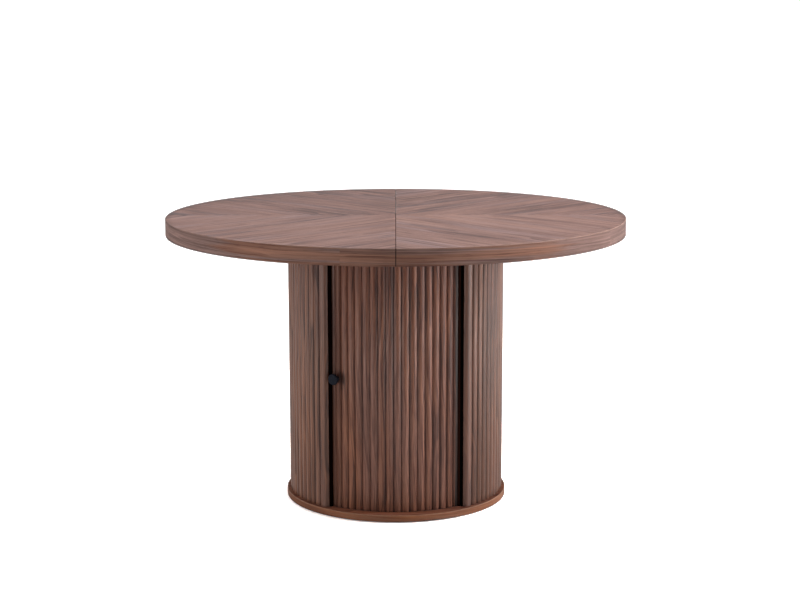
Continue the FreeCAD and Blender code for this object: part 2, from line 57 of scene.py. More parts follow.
# ---------------------------------------------------------------------------
# Node helper
# ---------------------------------------------------------------------------
class Tree:
    def __init__(self, name):
        self.mat = bpy.data.materials.new(name)
        self.mat.use_nodes = True
        self.t = self.mat.node_tree
        self.t.nodes.clear()
        self.out = self.t.nodes.new("ShaderNodeOutputMaterial")
        self.bsdf = self.t.nodes.new("ShaderNodeBsdfPrincipled")
        self.t.links.new(self.bsdf.outputs[0], self.out.inputs[0])

    def put(self, sock, v):
        if isinstance(v, bpy.types.NodeSocket):
            self.t.links.new(v, sock)
        else:
            sock.default_value = v

    def math(self, op, a, b=None, c=None, clamp=False):
        n = self.t.nodes.new("ShaderNodeMath")
        n.operation = op
        n.use_clamp = clamp
        for i, v in enumerate((a, b, c)):
            if v is not None:
                self.put(n.inputs[i], v)
        return n.outputs[0]

    def add(self, a, b):
        return self.math("ADD", a, b)

    def mul(self, a, b):
        return self.math("MULTIPLY", a, b)

    def sub(self, a, b):
        return self.math("SUBTRACT", a, b)

    def comb(self, x, y, z):
        n = self.t.nodes.new("ShaderNodeCombineXYZ")
        for i, v in enumerate((x, y, z)):
            self.put(n.inputs[i], v)
        return n.outputs[0]

    def sep(self, v):
        n = self.t.nodes.new("ShaderNodeSeparateXYZ")
        self.put(n.inputs[0], v)
        return n.outputs[0], n.outputs[1], n.outputs[2]

    def coords(self, which="Object"):
        n = self.t.nodes.new("ShaderNodeTexCoord")
        return n.outputs[which]

    def noise(self, vec, scale=1.0, detail=2.0, rough=0.5, dist=0.0, color=False):
        n = self.t.nodes.new("ShaderNodeTexNoise")
        self.put(n.inputs["Vector"], vec)
        n.inputs["Scale"].default_value = scale
        n.inputs["Detail"].default_value = detail
        n.inputs["Roughness"].default_value = rough
        n.inputs["Distortion"].default_value = dist
        return n.outputs["Color" if color else "Fac"]

    def voronoi(self, vec, scale, feature="F1", out="Distance", rnd=1.0):
        n = self.t.nodes.new("ShaderNodeTexVoronoi")
        n.feature = feature
        self.put(n.inputs["Vector"], vec)
        n.inputs["Scale"].default_value = scale
        n.inputs["Randomness"].default_value = rnd
        return n.outputs[out]

    def white(self, v):
        n = self.t.nodes.new("ShaderNodeTexWhiteNoise")
        n.noise_dimensions = "1D"
        self.put(n.inputs["W"], v)
        return n.outputs["Value"]

    def ramp(self, fac, stops, interp="LINEAR"):
        n = self.t.nodes.new("ShaderNodeValToRGB")
        n.color_ramp.interpolation = interp
        els = n.color_ramp.elements
        while len(els) > 1:
            els.remove(els[-1])
        for i, (p, c) in enumerate(stops):
            e = els[0] if i == 0 else els.new(p)
            e.position = p
            e.color = (c, c, c, 1) if isinstance(c, (int, float)) else (*c, 1)
        self.put(n.inputs[0], fac)
        return n.outputs[0]

    def step(self, v, lo, hi, a=0.0, b=1.0):
        n = self.t.nodes.new("ShaderNodeMapRange")
        n.interpolation_type = "SMOOTHSTEP"
        for i, x in enumerate((v, lo, hi, a, b)):
            self.put(n.inputs[i], x)
        return n.outputs[0]

    def lerp(self, v, lo, hi, a, b):
        n = self.t.nodes.new("ShaderNodeMapRange")
        for i, x in enumerate((v, lo, hi, a, b)):
            self.put(n.inputs[i], x)
        return n.outputs[0]

    def mix(self, fac, a, b, blend="MIX"):
        n = self.t.nodes.new("ShaderNodeMix")
        n.data_type = "RGBA"
        n.blend_type = blend
        n.clamp_factor = True
        self.put(n.inputs[0], fac)
        for s, v in ((n.inputs[6], a), (n.inputs[7], b)):
            if isinstance(v, (tuple, list)):
                v = (*v[:3], 1.0)
            self.put(s, v)
        return n.outputs[2]

    def scale_color(self, c, k):
        n = self.t.nodes.new("ShaderNodeVectorMath")
        n.operation = "SCALE"
        self.put(n.inputs[0], c)
        self.put(n.inputs["Scale"], k)
        return n.outputs[0]

    def bump(self, height, strength=0.2, distance=0.0005):
        n = self.t.nodes.new("ShaderNodeBump")
        n.inputs["Strength"].default_value = strength
        n.inputs["Distance"].default_value = distance
        self.put(n.inputs["Height"], height)
        return n.outputs[0]

    def finish(self, color, rough, normal=None, **fixed):
        self.put(self.bsdf.inputs["Base Color"], color if not isinstance(color, tuple) else (*color[:3], 1))
        self.put(self.bsdf.inputs["Roughness"], rough)
        if normal is not None:
            self.put(self.bsdf.inputs["Normal"], normal)
        for k, v in fixed.items():
            self.bsdf.inputs[k.replace("_", " ")].default_value = v
        return self.mat


# ---------------------------------------------------------------------------
# Grain directions: each returns (across the grain, along the grain, offset)
# ---------------------------------------------------------------------------
def grain_quarters(T):
    """Top veneer: four mirrored quarters, the grain runs out from the middle at 45 degrees."""
    x, y, z = T.sep(T.coords())
    ax, ay = T.math("ABSOLUTE", x), T.math("ABSOLUTE", y)
    r = math.sqrt(0.5)
    along = T.mul(T.add(ax, ay), r)
    across = T.mul(T.sub(ay, ax), r)
    side = T.math("GREATER_THAN", x, 0.0)
    front = T.math("LESS_THAN", y, 0.0)
    return across, along, T.add(T.mul(side, 7.31), T.mul(front, 0.22))


def turn_angle(T, flip=False):
    x, y, z = T.sep(T.coords())
    return T.math("ARCTAN2", x, T.mul(y, -1.0)), z


def grain_upright(radius):
    def f(T):
        t, z = turn_angle(T)
        return T.mul(t, radius), z, 0.0
    return f


def grain_round(radius, shear=0.0):
    def f(T):
        t, z = turn_angle(T)
        run = T.mul(t, radius)
        return T.add(z, T.mul(run, shear)), run, 3.7
    return f


RIM_JOINT, RIM_STRIP = -12.4, 74.5          # degrees


def grain_rim(T):
    t, z = turn_angle(T)
    run = T.mul(t, TOP_R)
    strip = T.math("FLOOR", T.mul(T.sub(t, math.radians(RIM_JOINT)), 1.0 / math.radians(RIM_STRIP)))
    slant = T.lerp(T.white(T.add(strip, 4.4)), 0.0, 1.0, -0.02, 0.075)
    return T.add(z, T.mul(run, slant)), run, T.mul(strip, 3.17)


def grain_flat(T):
    x, y, z = T.sep(T.coords())
    return T.add(y, T.mul(z, 0.7)), x, 11.3


def grain_wall(T):
    x, y, z = T.sep(T.coords())
    return T.add(T.mul(x, 0.83), y), z, 5.9


def grain_bar(T):
    x, y, z = T.sep(T.coords())
    return T.add(y, T.mul(z, 1.3)), x, 21.7


# ---------------------------------------------------------------------------
# Walnut veneer
# ---------------------------------------------------------------------------
def walnut(name, grain, light, mid, dark, warm, cool, seed=0.0, rings=(16.0, 1.2, 12.0, 0.30), broad=(17.0, 1.6, 1.0),
           middle=(62.0, 3.0, 0.85), fine=(240.0, 7.0, 0.55), patch=(6.0, 2.4, 0.5), hue=1.0, rough=(0.31, 0.43),
           bump=0.12, spec=0.14, reed=None, wander=0.03, shade=None, arris_highlight=None, arris_highlight_color=(0.30, 0.19, 0.155), shadow_line=None,
           hair_amt=0.30, calm=None, chill=None):
    """Figure, streaks and pores along one grain direction.

    rings, broad, middle, fine and patch are (cells per metre across, cells per metre along, ..., amount)."""
    T = Tree(name)
    across, along, var = grain(T)

    def field(kx, ky, shift, detail=2.0, rgh=0.5, x=None):
        z = T.add(var, seed + shift) if isinstance(var, bpy.types.NodeSocket) else var + seed + shift
        return T.noise(T.comb(T.mul(across if x is None else x, kx), T.mul(along, ky), z), 1.0, detail, rgh)

    def signed(k, shift, detail=2.0, rgh=0.5, x=None):
        return T.sub(field(k[0], k[1], shift, detail, rgh, x), 0.5)

    xw = T.add(across, T.mul(T.sub(field(4.0, 2.0, 0.0), 0.5), wander * 2))
    # growth rings cut lengthwise: long nested loops, a pale edge and then darker late wood
    c = T.math("FRACT", T.mul(field(rings[0], rings[1], 2.0, 2.0, 0.45, xw), rings[2]))
    late = T.ramp(c, [(0.0, 0.30), (0.06, -0.0), (0.42, 0.10), (0.80, 0.62), (0.95, 1.0), (1.0, 0.30)])
    pale = T.ramp(c, [(0.0, 0.5), (0.05, 1.0), (0.16, 0.25), (0.30, 0.0), (0.97, 0.0), (1.0, 0.5)])
    show = T.step(field(rings[0] * 0.5, rings[1], 4.0), 0.34, 0.62)
    ring = T.mul(T.sub(T.mul(pale, 0.55), late), T.mul(show, rings[3]))
    b = signed(broad, 6.0, 2.0, 0.5, xw)
    m = signed(middle, 8.0, 3.0, 0.6, xw)
    f = signed(fine, 10.0, 3.0, 0.65, xw)
    hair = T.sub(field(760.0, 14.0, 12.0, 2.0, 0.6), 0.5)
    tone = T.add(T.add(T.mul(b, broad[2]), T.mul(m, middle[2])), T.add(T.mul(f, fine[2]), T.mul(hair, hair_amt)))
    tone = T.add(T.add(tone, T.mul(signed(patch, 18.0), patch[2])), T.add(ring, 0.5 + 0.22 * rings[3]))
    warmth = T.add(T.mul(signed((broad[0] * 0.8, broad[1] * 1.2), 14.0, 0.0, 0.5, xw), 1.3),
                   T.mul(signed((broad[0] * 2.4, broad[1] * 1.6), 20.0, 0.0, 0.5, xw), 0.9))
    if reed is not None:
        a0, pitch_a, radius, amount = reed
        idx = T.math("FLOOR", T.math("DIVIDE", T.sub(T.math("DIVIDE", across, radius), math.radians(a0)),
                                     math.radians(pitch_a)))
        tone = T.add(tone, T.mul(T.sub(T.white(T.add(idx, 17.3 + seed)), 0.5), amount))
        warmth = T.add(warmth, T.mul(T.sub(T.white(T.add(idx, 71.9 + seed)), 0.5), amount * 2.2))
    if chill is not None:
        warmth = T.sub(warmth, chill(T))
    if calm is not None:
        c = calm(T)
        tone, warmth = T.add(0.5, T.mul(T.sub(tone, 0.5), c)), T.mul(warmth, c)
    # shade: painted light and shade added to the tone
    if shade is not None:
        tone = T.add(tone, shade(T))
    col = T.ramp(tone, [(0.05, dark), (0.40, mid), (0.62, mid2(mid, light)), (0.96, light)], "EASE")
    k = T.mul(T.math("MAXIMUM", tone, 0.22), 2.0)
    col = T.mix(T.mul(T.step(warmth, 0.02, 0.42), 0.80 * hue), col, T.scale_color(rgb(T, warm), k))
    col = T.mix(T.mul(T.step(warmth, -0.02, -0.42), 0.90 * hue), col, T.scale_color(rgb(T, cool), k))
    pores = T.step(field(820.0, 26.0, 16.0, 1.0), 0.62, 0.74)
    col = T.mix(T.mul(pores, 0.42), col, tuple(0.45 * q for q in dark))
    # painted highlight: the colour is lightened along an arris
    if arris_highlight is not None:
        col = T.mix(arris_highlight(T), col, arris_highlight_color)
    # painted shadow: the colour is darkened almost to black
    if shadow_line is not None:
        col = T.mix(shadow_line(T), col, (0.006, 0.004, 0.0034))
    rgh = T.add(T.lerp(tone, 0.2, 0.9, rough[1], rough[0]), T.mul(pores, 0.12))
    h = T.sub(T.add(T.mul(f, 0.5), T.mul(hair, 0.6)), T.mul(pores, 0.8))
    return T.finish(col, rgh, T.bump(h, bump, 0.0004), Specular_IOR_Level=spec)


def rgb(T, c):
    n = T.t.nodes.new("ShaderNodeRGB")
    n.outputs[0].default_value = (*c, 1.0)
    return n.outputs[0]


def mid2(a, b):
    return tuple(0.5 * (p + q) for p, q in zip(a, b))


LIGHT, MID, DARK = (0.154, 0.0715, 0.0470), (0.0905, 0.0360, 0.0228), (0.036, 0.0132, 0.0088)
WARM, COOL = (0.116, 0.0440, 0.0215), (0.082, 0.0430, 0.0370)


def tint(c, r=1.0, g=1.0, b=1.0):
    return (c[0] * r, c[1] * g, c[2] * b)


def pal(r=1.0, g=1.0, b=1.0):
    return [tint(c, r, g, b) for c in (LIGHT, MID, DARK, WARM, COOL)]


# top palette, much paler and pinker than the drum's: partly a paler veneer, partly painted light for the stronger light
# and sheen on the top
TOP_PAL = [tint(LIGHT, 2.38, 2.30, 2.60), tint(MID, 2.38, 2.30, 2.64), tint(DARK, 2.45, 2.48, 2.93),
           tint(WARM, 2.24, 2.41, 3.09), tint(COOL, 2.20, 2.26, 2.69)]
# band palette, greyer than the drum's; its cool colour, mixed in at the two ends, is painted sheen
BAND_PAL = [tint(LIGHT, 1.00, 1.06, 1.10), tint(MID, 1.02, 1.05, 1.06), tint(DARK, 1.05, 1.08, 1.12),
            tint(WARM, 0.98, 1.12, 1.40), tint(COOL, 0.98, 1.14, 1.17)]


def quarter_painted_light(T):
    """Painted light and shade on the top: the mirrored leaves take the light differently, so the front quarters are
    painted paler than the back ones.
    """
    x, y, z = T.sep(T.coords())
    front = T.math("LESS_THAN", y, 0.0)
    right = T.math("GREATER_THAN", x, 0.0)
    quarter = T.add(T.mul(front, 0.175), T.sub(T.mul(right, 0.11), 0.16))
    # painted highlight along the front arris, painted shade towards the two ends, the back of the left half and the far
    # arris
    r = T.math("SQRT", T.add(T.mul(x, x), T.mul(y, y)))
    edge = T.mul(T.mul(T.step(r, 0.582, 0.594), T.step(y, -0.30, -0.48)), 0.13)
    ends = T.add(T.mul(T.step(x, 0.40, 0.52), 0.10), T.mul(T.step(x, -0.46, -0.57), 0.05))
    rear = T.mul(T.mul(T.step(r, 0.54, 0.59), T.step(y, 0.10, 0.26)), T.mul(T.step(x, -0.05, -0.25), 0.08))
    outline = T.mul(T.mul(T.step(r, 0.580, 0.597), T.step(y, -0.22, -0.05)), 0.24)
    return T.sub(T.add(quarter, edge), T.add(T.add(ends, rear), outline))


def rim_painted_shade(T):
    """Painted shade and light on the rim band: darker towards its lower edge and, on the left half, towards its upper
    edge, with its tone along its length following how the light falls round it.
    """
    x, y, z = T.sep(T.coords())
    low = T.mul(T.step(z, TOP_H - RIM_H + 0.0075, TOP_H - RIM_H + 0.001), 0.17)
    high = T.step(z, TOP_H - 0.012, TOP_H - 0.003)
    crown = T.mul(high, T.sub(T.mul(T.step(x, -0.06, 0.06), 0.18), 0.12))
    belly = T.mul(T.mul(T.step(z, TOP_H - 0.012, TOP_H - 0.017), T.step(z, TOP_H - 0.028, TOP_H - 0.021)),
                  T.mul(T.step(x, 0.02, -0.02), 0.08))
    left = T.sub(T.sub(T.mul(T.step(x, -0.50, -0.58), 0.15), T.mul(T.step(x, -0.36, -0.46), 0.10)), T.mul(T.mul(T.step(x, -0.02, -0.08), T.step(x, -0.48, -0.34)), 0.10))
    right = T.sub(T.mul(T.step(x, 0.50, 0.58), 0.15), T.mul(T.step(x, 0.34, 0.46), 0.16))
    mid = T.add(T.mul(T.mul(T.step(x, 0.06, 0.16), T.step(x, 0.42, 0.34)), 0.13), 0.02)
    return T.add(T.sub(T.add(crown, belly), T.add(left, right)), T.sub(mid, low))


def rim_calm(T):
    """The band's figure is quieter towards the two ends."""
    x, y, z = T.sep(T.coords())
    return T.sub(1.0, T.add(T.mul(T.step(x, 0.30, 0.46), 0.42), T.mul(T.step(x, -0.26, -0.44), 0.36)))


def rim_arris_highlight(T):
    """Painted highlight along the top arris, fainter towards the left."""
    x, y, z = T.sep(T.coords())
    n = T.lerp(T.noise(T.comb(T.mul(x, 40.0), T.mul(y, 40.0), 2.0), 1.0, 3.0, 0.6), 0.3, 0.7, 0.6, 1.0)
    k = T.lerp(x, -0.30, -0.05, 0.35, 0.85)
    return T.mul(T.mul(T.step(z, TOP_H - 0.0022, TOP_H - 0.0006), k), n)


def rim_seam_shadow(T):
    """Painted shade: dark line where the two halves of the band meet."""
    x, y, z = T.sep(T.coords())
    return T.mul(T.step(T.math("ABSOLUTE", x), 0.0018, 0.0008), 0.85)


def plinth_contact_shadow(T):
    """Painted shadow: dark line where the band meets the floor."""
    x, y, z = T.sep(T.coords())
    return T.mul(T.step(z, GLIDE_H + 0.0034, GLIDE_H + 0.0012), -0.42)


# Painted highlight along the band's top arris.
def plinth_arris_highlight(T):
    x, y, z = T.sep(T.coords())
    n = T.lerp(T.noise(T.comb(T.mul(x, 60.0), T.mul(y, 60.0), 5.0), 1.0, 3.0, 0.6), 0.3, 0.7, 0.4, 1.0)
    return T.mul(T.mul(T.step(z, PLINTH_TOP - 0.0034, PLINTH_TOP - 0.0014), 0.55), n)


def reed_painted_shade(T):
    """Painted shade: the reeds grow duller round the right side, a little brighter left of the doorway, and darker in
    the grooves between them, where shade falls.
    """
    t, z = turn_angle(T)
    n = T.math("DIVIDE", T.sub(T.math("ABSOLUTE", t), math.radians(JAMB_A)), math.radians(REED_PITCH))
    off = T.math("ABSOLUTE", T.sub(T.math("FRACT", n), 0.5))
    groove = T.mul(T.mul(T.step(off, 0.30, 0.46), T.math("GREATER_THAN", n, -0.1)), 0.22)
    dull = T.add(T.mul(T.step(t, math.radians(36.0), math.radians(41.0)), 0.16),
                 T.mul(T.step(t, math.radians(72.0), math.radians(88.0)), 0.15))
    bright = T.mul(T.step(t, math.radians(-36.0), math.radians(-46.0)), T.step(t, math.radians(-130.0), math.radians(-100.0)))
    return T.sub(T.mul(bright, 0.03), T.add(dull, groove))


def reed_calm(T):
    """The figure is livelier left of the doorway than right of it."""
    t, z = turn_angle(T)
    left = T.mul(T.step(t, math.radians(-30.0), math.radians(-44.0)), T.step(t, math.radians(-130.0), math.radians(-100.0)))
    right = T.mul(T.step(t, math.radians(30.0), math.radians(44.0)), T.step(t, math.radians(130.0), math.radians(100.0)))
    return T.add(1.0, T.sub(T.mul(left, 0.18), T.mul(right, 0.28)))


def reed_chill(T):
    """The reeds beside the doorway are redder, most of all right of it."""
    t, z = turn_angle(T)
    left = T.mul(T.step(t, math.radians(-34.0), math.radians(-44.0)), T.step(t, math.radians(-130.0), math.radians(-100.0)))
    right = T.mul(T.step(t, math.radians(34.0), math.radians(44.0)), T.step(t, math.radians(130.0), math.radians(100.0)))
    return T.mul(T.add(T.mul(left, 0.15), T.mul(right, 0.50)), -1.0)


def rim_painted_sheen(T):
    """Painted sheen: the band is a little greyer at its two ends, where it catches the light at a grazing angle."""
    x, y, z = T.sep(T.coords())
    return T.mul(T.step(T.math("ABSOLUTE", x), 0.34, 0.50), 1.20)


def slat_chill(T):
    """The slats are a little greyer towards their upper ends."""
    t, z = turn_angle(T)
    return T.mul(T.step(z, 0.55, 0.67), 0.24)


def spot(T, t, z, a, h, w, d):
    """Soft oval at angle a and height h, w degrees and d metres to its edge."""
    u = T.mul(T.sub(t, math.radians(a)), 1.0 / math.radians(w))
    v = T.mul(T.sub(z, h), 1.0 / d)
    return T.step(T.math("SQRT", T.add(T.mul(u, u), T.mul(v, v))), 1.0, 0.25)


def lead_knob_shadow(T):
    """Painted shadow of the knob: the lead slat is darker round it."""
    t, z = turn_angle(T)
    return T.mul(spot(T, t, z, KNOB_A + 0.6, KNOB_Z + 0.003, 4.6, 0.027), -0.34)


def slat_painted_shade(T):
    """Painted shade and shadow: the slats next to the two ends of the doorway, the knob's shadow beside the knob, the
    grooves and the slats towards both sides are a little darker.
    """
    t, z = turn_angle(T)
    n = T.math("DIVIDE", T.sub(t, math.radians(SLAT_A0)), math.radians(SLAT_PITCH))
    off = T.math("ABSOLUTE", T.sub(T.math("FRACT", n), 0.5))
    groove = T.mul(T.step(off, 0.27, 0.48), 0.24)
    left = T.mul(T.step(t, math.radians(-14.0), math.radians(-24.0)), 0.08)
    knob_shadow = T.mul(spot(T, t, z, -30.8, KNOB_Z + 0.003, 1.7, 0.022), 0.50)
    first = T.mul(T.step(t, math.radians(-30.2), math.radians(-31.6)), 0.22)
    last = T.mul(T.step(t, math.radians(29.8), math.radians(34.2)), 0.24)
    right = T.mul(T.step(t, math.radians(10.0), math.radians(24.0)), 0.09)
    return T.mul(T.add(T.add(T.add(first, last), T.add(right, knob_shadow)), T.add(groove, left)), -1.0)


def slat_seal_shadow(T):
    """Painted shadow: dark line on the slat that meets the right-hand seal."""
    t, z = turn_angle(T)
    return T.mul(T.step(t, math.radians(34.9), math.radians(35.9)), 0.80)


REED_PITCH = (180.0 - JAMB_A) / REED_N
M = {}
M["walnut_top"] = walnut("walnut_top", grain_quarters, *TOP_PAL, seed=1.0, rings=(15.0, 1.1, 9.0, 0.34),
                         broad=(21.0, 1.7, 0.58), middle=(70.0, 2.2, 0.62), fine=(165.0, 3.0, 1.35), hue=0.60,
                         patch=(5.0, 2.4, 0.35), rough=(0.40, 0.52), spec=0.35, wander=0.022, shade=quarter_painted_light,
                         hair_amt=1.2)
M["walnut_band"] = walnut("walnut_band", grain_rim, *BAND_PAL, seed=2.0, rings=(52.0, 1.1, 6.0, 0.34),
                          broad=(80.0, 1.6, 1.15), middle=(210.0, 2.6, 1.10), fine=(520.0, 5.0, 1.65), hue=0.9,
                          patch=(12.0, 3.2, 0.70), rough=(0.72, 0.82), spec=0.165, wander=0.008, shade=rim_painted_shade, arris_highlight=rim_arris_highlight,
                          shadow_line=rim_seam_shadow, calm=rim_calm, chill=rim_painted_sheen)
# reeds and door slats are one veneer; their different palettes are painted shade and light for how the light falls on
# each
M["walnut_reeds"] = walnut("walnut_reeds", grain_upright(0.283), *pal(0.875, 0.865, 0.84), seed=3.0,
                           rings=(20.0, 0.9, 9.0, 0.30), broad=(17.0, 1.6, 0.75), middle=(105.0, 2.2, 0.95),
                           fine=(340.0, 3.4, 1.0), patch=(6.0, 2.4, 0.35), hue=0.75,
                           reed=(JAMB_A, REED_PITCH, 0.283, 0.14), spec=0.24, rough=(0.36, 0.48), shade=reed_painted_shade,
                           calm=reed_calm, chill=reed_chill)
M["walnut_slats"] = walnut("walnut_slats", grain_upright(0.262), *pal(1.12, 1.05, 0.98), seed=4.0,
                           rings=(20.0, 0.9, 9.0, 0.30), broad=(17.0, 1.4, 0.55), middle=(105.0, 2.2, 0.90),
                           fine=(320.0, 7.0, 1.70), patch=(6.0, 2.4, 0.30), hue=0.52,
                           reed=(SLAT_A0, SLAT_PITCH, 0.262, 0.10), spec=0.18, shade=slat_painted_shade, shadow_line=slat_seal_shadow,
                           hair_amt=0.80, rough=(0.36, 0.48), chill=slat_chill)
# the lead slat takes a darker copy of the slats' veneer, painted shade for the left jamb's shadow on it
M["walnut_lead_shaded"] = walnut("walnut_lead_shaded", grain_upright(0.262), *pal(0.74, 0.69, 0.65), seed=4.4,
                          rings=(20.0, 0.9, 9.0, 0.30), broad=(17.0, 1.4, 0.5), middle=(105.0, 2.2, 0.9),
                          fine=(340.0, 3.4, 1.0), patch=(6.0, 2.4, 0.3), hue=0.60, spec=0.09, shade=lead_knob_shadow)
M["plinth_band"] = walnut("plinth_band", grain_round(0.292, 0.05), *pal(1.12, 0.955, 0.67), seed=5.0,
                          rings=(60.0, 2.0, 5.0, 0.14), broad=(60.0, 4.0, 0.6), middle=(190.0, 7.0, 0.7), hue=0.8,
                          wander=0.004, shade=plinth_contact_shadow, arris_highlight=plinth_arris_highlight, arris_highlight_color=(0.24, 0.140, 0.095),
                          rough=(0.56, 0.68))
M["cap_band"] = walnut("cap_band", grain_round(0.288, 0.05), *pal(1.10, 0.97, 0.78), seed=5.5,
                       rings=(60.0, 2.0, 5.0, 0.22), broad=(60.0, 5.0, 0.8), middle=(160.0, 8.0, 0.8), wander=0.006)
# paler palette, in part painted sheen for the plinth's top
M["drum_board"] = walnut("drum_board", grain_flat, *pal(1.36, 1.17, 1.07), seed=6.0, rough=(0.66, 0.78))
M["cabinet_board"] = walnut("cabinet_board", grain_wall, *pal(1.1, 1.06, 1.02), seed=7.0)
M["shelf_board"] = walnut("shelf_board", grain_flat, *pal(1.1, 1.06, 1.02), seed=8.0)
M["rim_core"] = walnut("rim_core", grain_round(0.575), *pal(1.1, 1.04, 1.0), seed=9.0)


def plywood():
    T = Tree("shell_ply")
    x, y, z = T.sep(T.coords())
    t = T.math("ARCTAN2", x, T.mul(y, -1.0))
    n1 = T.noise(T.comb(T.mul(t, 34.0), T.mul(z, 2.0), 1.0), 1.0, 4.0, 0.6)
    n2 = T.noise(T.comb(T.mul(t, 260.0), T.mul(z, 9.0), 4.0), 1.0, 3.0, 0.6)
    tone = T.add(T.mul(n1, 0.7), T.mul(n2, 0.3))
    col = T.ramp(tone, [(0.25, (0.20, 0.125, 0.075)), (0.55, (0.31, 0.205, 0.125)), (0.8, (0.40, 0.28, 0.18))])
    return T.finish(col, T.lerp(n2, 0.2, 0.8, 0.5, 0.68), T.bump(n2, 0.2, 0.0004), Specular_IOR_Level=0.35)


def beech():
    T = Tree("slide_hardwood")
    across, along, v = grain_bar(T)
    f1 = T.noise(T.comb(T.mul(across, 90.0), T.mul(along, 2.4), 3.0), 1.0, 4.0, 0.6)
    fl = T.noise(T.comb(T.mul(across, 900.0), T.mul(along, 90.0), 8.0), 1.0, 1.0, 0.5)
    fleck = T.step(fl, 0.60, 0.70)
    col = T.ramp(f1, [(0.25, (0.36, 0.21, 0.115)), (0.52, (0.50, 0.32, 0.185)), (0.8, (0.60, 0.41, 0.26))])
    col = T.mix(T.mul(fleck, 0.5), col, (0.30, 0.165, 0.085))
    return T.finish(col, T.lerp(f1, 0.2, 0.8, 0.42, 0.58), T.bump(T.sub(f1, T.mul(fleck, 0.5)), 0.12, 0.0003),
                    Specular_IOR_Level=0.4)


def plastic(name, color, rough=(0.4, 0.55), grain=1400.0, bump=0.12, spec=0.5):
    T = Tree(name)
    p = T.coords()
    n = T.noise(p, grain, 2.0, 0.5)
    n2 = T.noise(p, 35.0, 3.0, 0.5)
    col = T.mix(T.lerp(n2, 0.3, 0.7, 0.0, 1.0), tuple(0.86 * c for c in color), tuple(min(1.0, 1.12 * c) for c in color))
    return T.finish(col, T.lerp(T.add(T.mul(n, 0.5), T.mul(n2, 0.5)), 0.3, 0.7, rough[0], rough[1]),
                    T.bump(n, bump, 0.0002), Specular_IOR_Level=spec)


def steel():
    T = Tree("steel")
    p = T.coords()
    x, y, z = T.sep(p)
    n = T.noise(T.comb(T.mul(x, 2400.0), T.mul(y, 2400.0), T.mul(z, 240.0)), 1.0, 2.0, 0.5)
    n2 = T.noise(p, 60.0, 3.0, 0.5)
    col = T.mix(n2, (0.46, 0.45, 0.42), (0.66, 0.66, 0.64))
    return T.finish(col, T.lerp(T.add(T.mul(n, 0.5), T.mul(n2, 0.5)), 0.3, 0.7, 0.26, 0.44),
                    T.bump(n, 0.08, 0.0001), Metallic=1.0)


def cloth(name, color, pitch, across_fn, sheen=0.25, spec=0.2):
    T = Tree(name)
    a, b, v = across_fn(T)
    k = 2 * math.pi / pitch
    wa = T.math("SINE", T.mul(a, k))
    wb = T.math("SINE", T.mul(b, k))
    weave = T.add(0.5, T.mul(T.mul(wa, wb), 0.5))
    n = T.noise(T.coords(), 220.0, 3.0, 0.6)
    col = T.mix(T.add(T.mul(weave, 0.6), T.mul(n, 0.4)), tuple(0.55 * c for c in color), tuple(1.35 * c for c in color))
    return T.finish(col, T.lerp(n, 0.2, 0.8, 0.82, 0.95), T.bump(weave, 0.5, 0.0004), Specular_IOR_Level=spec,
                    Sheen_Weight=sheen, Sheen_Roughness=0.5)


def seal_painted_shade():
    """Pile painted in light and shade: brown-black at its nose and black further in, where shade falls."""
    T = Tree("seal_painted_shade")
    t, z = turn_angle(T)
    run = T.mul(t, 0.268)
    k = 2 * math.pi / 0.0009
    weave = T.add(0.5, T.mul(T.mul(T.math("SINE", T.mul(run, k)), T.math("SINE", T.mul(z, k))), 0.5))
    n = T.noise(T.coords(), 220.0, 3.0, 0.6)
    f = T.add(T.mul(weave, 0.6), T.mul(n, 0.4))
    nose = T.mix(f, (0.012, 0.0040, 0.0028), (0.025, 0.0088, 0.0062))
    deep = T.mix(f, (0.0007, 0.0006, 0.0006), (0.0016, 0.0013, 0.0013))
    col = T.mix(T.step(t, math.radians(37.5), math.radians(37.85)), nose, deep)
    return T.finish(col, T.lerp(n, 0.2, 0.8, 0.82, 0.95), T.bump(weave, 0.5, 0.0004), Specular_IOR_Level=0.0)


def knob_paint():
    T = Tree("knob_black")
    p = T.coords()
    n = T.noise(p, 1800.0, 2.0, 0.5)
    n2 = T.noise(p, 90.0, 3.0, 0.5)
    col = T.mix(n2, (0.0032, 0.0040, 0.0072), (0.0050, 0.0060, 0.0100))
    return T.finish(col, T.lerp(n2, 0.3, 0.7, 0.56, 0.66), T.bump(n, 0.10, 0.00012), Specular_IOR_Level=0.055)


M["shell_ply"] = plywood()
M["slide_hardwood"] = beech()
M["gear_plastic"] = plastic("gear_plastic", (0.62, 0.60, 0.53))
M["track_plastic"] = plastic("track_plastic", (0.020, 0.015, 0.012), (0.32, 0.46))
M["glide_plastic"] = plastic("glide_plastic", (0.012, 0.012, 0.012), (0.42, 0.58))
M["seal_pile"] = cloth("seal_pile", (0.0032, 0.0010, 0.0008), 0.0009, grain_upright(0.268), sheen=0.0, spec=0.0)
M["seal_painted_shade"] = seal_painted_shade()
M["seam_felt"] = cloth("seam_felt", (0.020, 0.013, 0.011), 0.0009, grain_flat, sheen=0.0, spec=0.04)
M["canvas"] = cloth("canvas", (0.030, 0.023, 0.019), 0.0011, grain_upright(0.251))
M["knob_black"] = knob_paint()
M["steel"] = steel()

slot_of = {s["node"]: s["material_slot"] for s in frame["record"]["subparts"]}
own = {"shelf": "shelf_board", "seam_felt": "seam_felt", "tambour_lead_slat": "walnut_lead_shaded", "seal_strip_right": "seal_painted_shade"}
for node, obj in N.items():
    mat = M[own.get(node, slot_of[node])]
    if not obj.material_slots:
        obj.data.materials.append(mat)
    for s in obj.material_slots:
        s.material = mat


